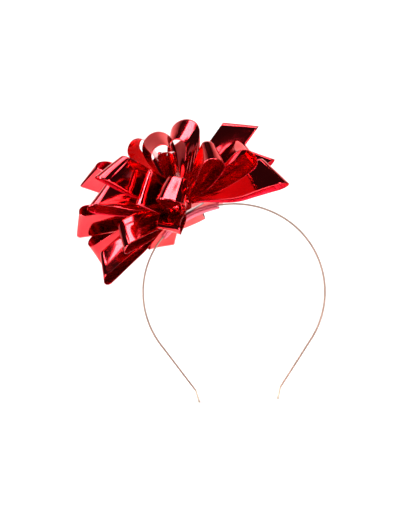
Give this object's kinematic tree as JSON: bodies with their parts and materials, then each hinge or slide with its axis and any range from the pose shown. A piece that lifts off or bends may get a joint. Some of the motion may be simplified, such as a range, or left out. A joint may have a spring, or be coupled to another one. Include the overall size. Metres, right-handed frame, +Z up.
{
  "type": "ribbon bow headband",
  "caption": "Foil ribbon star bow of separate rounded loops, clamped in felt discs beside the crown of a thin metal headband with kinked tips.",
  "frame": {"origin": "on the inner face of the headband, at the middle of its crown, where the band rests on the head", "axes": "+Z up, away from the head; the band lies in the XZ plane and the bow sits towards -X; -Y is the side that the bow is looked at from"},
  "size_m": [0.1719, 0.1447, 0.1976],
  "materials": {
    "rose_gold": "polished rose gold plating",
    "foil_ribbon": "metallised red film, mirror gloss outside",
    "felt": "pink wool-mix felt",
    "card": "uncoated white card",
    "steel": "bright wire"
  },
  "bodies": {
    "root": {"headband_strip": "rose_gold", "lower_felt_disc": "felt", "upper_felt_disc": "felt", "bow_card": "card", "gathered_core": "foil_ribbon", "core_staple": "steel", "ribbon_loop_01": "foil_ribbon", "ribbon_loop_02": "foil_ribbon", "ribbon_loop_03": "foil_ribbon", "ribbon_loop_04": "foil_ribbon", "ribbon_loop_05": "foil_ribbon", "ribbon_loop_06": "foil_ribbon", "ribbon_loop_07": "foil_ribbon", "ribbon_loop_08": "foil_ribbon", "ribbon_loop_09": "foil_ribbon", "ribbon_loop_10": "foil_ribbon", "ribbon_loop_11": "foil_ribbon", "ribbon_loop_12": "foil_ribbon", "ribbon_loop_13": "foil_ribbon", "ribbon_loop_14": "foil_ribbon", "ribbon_loop_15": "foil_ribbon", "ribbon_loop_16": "foil_ribbon", "ribbon_loop_17": "foil_ribbon", "ribbon_loop_18": "foil_ribbon", "ribbon_loop_19": "foil_ribbon", "ribbon_loop_20": "foil_ribbon", "ribbon_loop_21": "foil_ribbon", "ribbon_loop_22": "foil_ribbon", "ribbon_loop_23": "foil_ribbon", "ribbon_loop_24": "foil_ribbon", "ribbon_loop_25": "foil_ribbon"}
  },
  "joints": []
}
